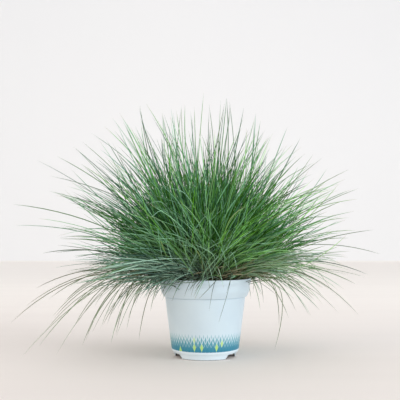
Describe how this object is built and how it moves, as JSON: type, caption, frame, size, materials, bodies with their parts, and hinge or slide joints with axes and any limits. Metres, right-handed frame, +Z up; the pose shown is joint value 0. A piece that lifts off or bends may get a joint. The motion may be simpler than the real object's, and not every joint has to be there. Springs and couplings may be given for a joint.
{
  "type": "potted blue fescue clump",
  "caption": "Clump of fine blue-green fescue blades radiating from a small white tapered nursery pot filled with soil.",
  "frame": {"origin": "on the pot's axis, on the surface that the pot stands on", "axes": "+Z up along the pot's axis, -Y towards the front, where the pot has one of its two wide feet, +X to the right seen from the front"},
  "size_m": [0.4827, 0.49, 0.3467],
  "materials": {
    "pot_plastic": "white injection-moulded polypropylene with a soft sheen and a printed band at the bottom",
    "soil": null,
    "blade": "living grass blade with a dull bluish bloom, straw-coloured at its sheath"
  },
  "bodies": {
    "root": {"pot": "pot_plastic", "soil": "soil", "tuft_01": "blade", "tuft_02": "blade", "tuft_03": "blade", "tuft_04": "blade", "tuft_05": "blade", "tuft_06": "blade", "tuft_07": "blade", "tuft_08": "blade", "tuft_09": "blade", "tuft_10": "blade", "tuft_11": "blade", "tuft_12": "blade", "tuft_13": "blade", "tuft_14": "blade", "tuft_15": "blade", "tuft_16": "blade", "tuft_17": "blade", "tuft_18": "blade", "tuft_19": "blade", "tuft_20": "blade", "tuft_21": "blade", "tuft_22": "blade", "tuft_23": "blade", "tuft_24": "blade", "tuft_25": "blade", "tuft_26": "blade", "tuft_27": "blade", "tuft_28": "blade", "tuft_29": "blade", "tuft_30": "blade", "tuft_31": "blade", "tuft_32": "blade", "tuft_33": "blade", "tuft_34": "blade", "tuft_35": "blade", "tuft_36": "blade", "tuft_37": "blade", "tuft_38": "blade", "tuft_39": "blade", "tuft_40": "blade", "tuft_41": "blade", "tuft_42": "blade", "tuft_43": "blade", "tuft_44": "blade", "tuft_45": "blade", "tuft_46": "blade", "tuft_47": "blade", "tuft_48": "blade", "tuft_49": "blade", "tuft_50": "blade", "tuft_51": "blade", "tuft_52": "blade", "tuft_53": "blade", "tuft_54": "blade", "tuft_55": "blade", "tuft_56": "blade", "tuft_57": "blade"}
  },
  "joints": []
}
